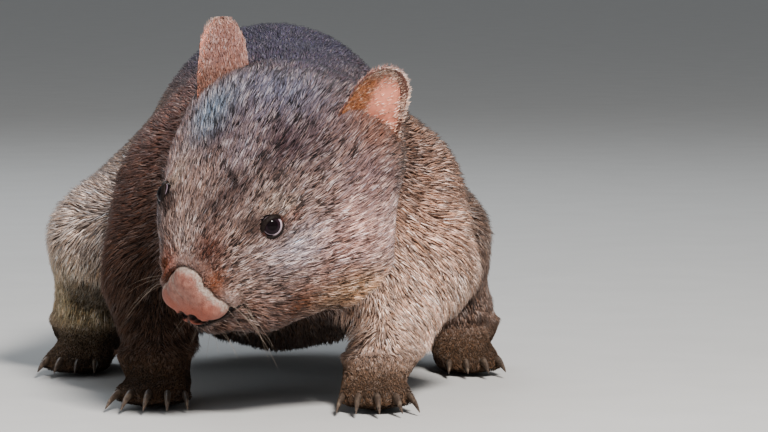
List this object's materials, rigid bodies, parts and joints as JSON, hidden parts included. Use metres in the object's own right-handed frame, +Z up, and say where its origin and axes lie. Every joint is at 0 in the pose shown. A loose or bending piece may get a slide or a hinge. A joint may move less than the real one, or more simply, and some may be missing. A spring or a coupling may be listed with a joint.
{
  "type": "wombat model",
  "caption": "Life-size still model of a bare-nosed wombat, crouched on its feet with its broad head lowered and turned.",
  "frame": {"origin": "middle of the model's box, at floor level", "axes": "+Z up, the animal faces -Y and its left side is towards +X, body length along Y"},
  "size_m": [0.3564, 0.6016, 0.2795],
  "materials": {
    "body_coat": "short dense fur, dark brown with grey tips",
    "face_coat": "short close fur, grey-brown, paler on the cheeks",
    "ear_coat": "thin fur, rusty outside and peach inside",
    "nose_skin": "bare grained skin, slightly moist",
    "lid_skin": "bare dark skin",
    "eye_glass": "polished dark brown",
    "claw_horn": "worn horn, satin"
  },
  "bodies": {
    "root": {"head": "face_coat", "lower_jaw": "face_coat", "nose": "nose_skin", "ear_left": "ear_coat", "eyelids_left": "lid_skin", "eye_left": "eye_glass", "ear_right": "ear_coat", "eyelids_right": "lid_skin", "eye_right": "eye_glass", "neck": "body_coat", "torso": "body_coat", "hindquarters": "body_coat", "tail": "body_coat", "upper_foreleg_left": "body_coat", "foreleg_left": "body_coat", "thigh_left": "body_coat", "shin_left": "body_coat", "forepaw_left": "body_coat", "hind_foot_left": "body_coat", "upper_foreleg_right": "body_coat", "foreleg_right": "body_coat", "thigh_right": "body_coat", "shin_right": "body_coat", "forepaw_right": "body_coat", "hind_foot_right": "body_coat", "claw_forepaw_left_1": "claw_horn", "claw_forepaw_left_2": "claw_horn", "claw_forepaw_left_3": "claw_horn", "claw_forepaw_left_4": "claw_horn", "claw_forepaw_left_5": "claw_horn", "claw_hind_foot_left_2": "claw_horn", "claw_hind_foot_left_3": "claw_horn", "claw_hind_foot_left_4": "claw_horn", "claw_hind_foot_left_5": "claw_horn", "claw_forepaw_right_1": "claw_horn", "claw_forepaw_right_2": "claw_horn", "claw_forepaw_right_3": "claw_horn", "claw_forepaw_right_4": "claw_horn", "claw_forepaw_right_5": "claw_horn", "claw_hind_foot_right_2": "claw_horn", "claw_hind_foot_right_3": "claw_horn", "claw_hind_foot_right_4": "claw_horn", "claw_hind_foot_right_5": "claw_horn"}
  },
  "joints": []
}
